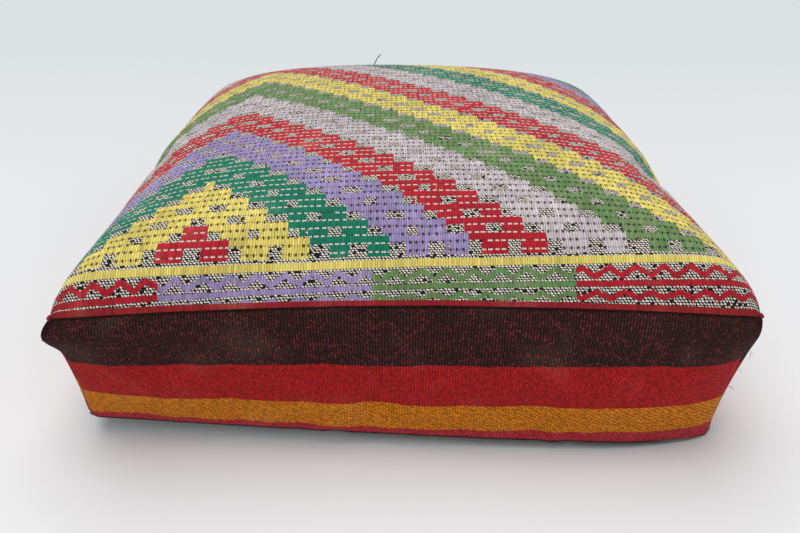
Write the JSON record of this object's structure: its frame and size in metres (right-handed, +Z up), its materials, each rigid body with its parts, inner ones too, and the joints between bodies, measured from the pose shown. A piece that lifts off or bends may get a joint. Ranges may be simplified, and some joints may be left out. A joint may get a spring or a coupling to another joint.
{
  "type": "floor cushion",
  "caption": "Square box-shaped floor cushion with a woven cover, striped gusset, cotton underside, a back zip and a stuffed insert.",
  "frame": {"origin": "on the floor, under the middle of the cushion", "axes": "+Z up, front towards -Y, the zip in the back towards +Y, +X to the right seen from the front"},
  "size_m": [0.5986, 0.5986, 0.211],
  "materials": {
    "brocade_wool": "flat-woven wool with a stepped multicolour pattern",
    "gusset_wool": "flat-woven wool in brown, red and mustard stripes",
    "grey_cotton": "plain grey cotton",
    "sewing_thread": "dark polyester sewing thread",
    "casing_cotton": "plain unbleached cotton",
    "polyester_fibre": "loose white polyester fibre",
    "zip_tape": "grey woven polyester tape",
    "zip_coil": "grey polyester coil",
    "zip_metal": "nickel-plated zinc"
  },
  "bodies": {
    "cushion": {"top_panel": "brocade_wool", "front_gusset": "gusset_wool", "right_gusset": "gusset_wool", "back_gusset": "gusset_wool", "left_gusset": "gusset_wool", "bottom_panel": "grey_cotton", "top_seam_thread": "sewing_thread", "bottom_seam_thread": "sewing_thread", "front_left_corner_thread": "sewing_thread", "front_right_corner_thread": "sewing_thread", "back_right_corner_thread": "sewing_thread", "back_left_corner_thread": "sewing_thread", "insert_casing_upper": "casing_cotton", "insert_casing_lower": "casing_cotton", "insert_fibre_fill": "polyester_fibre", "zip_tape_upper": "zip_tape", "zip_tape_lower": "zip_tape", "zip_coil_upper": "zip_coil", "zip_coil_lower": "zip_coil", "zip_top_stop": "zip_metal", "zip_bottom_stop": "zip_metal"},
    "slider": {"zip_slider": "zip_metal"},
    "pull": {"zip_pull": "zip_metal"}
  },
  "joints": [
    {"name": "zip_slide", "type": "slide", "parent": "cushion", "child": "slider", "axis": [-1, 0, 0], "range_m": [0, 0.381]},
    {"name": "pull_hinge", "type": "hinge", "parent": "slider", "child": "pull", "pos_m": [0.1907, 0.2948, 0.029], "axis": [0, 0, -1], "range_deg": [0, 160]}
  ]
}
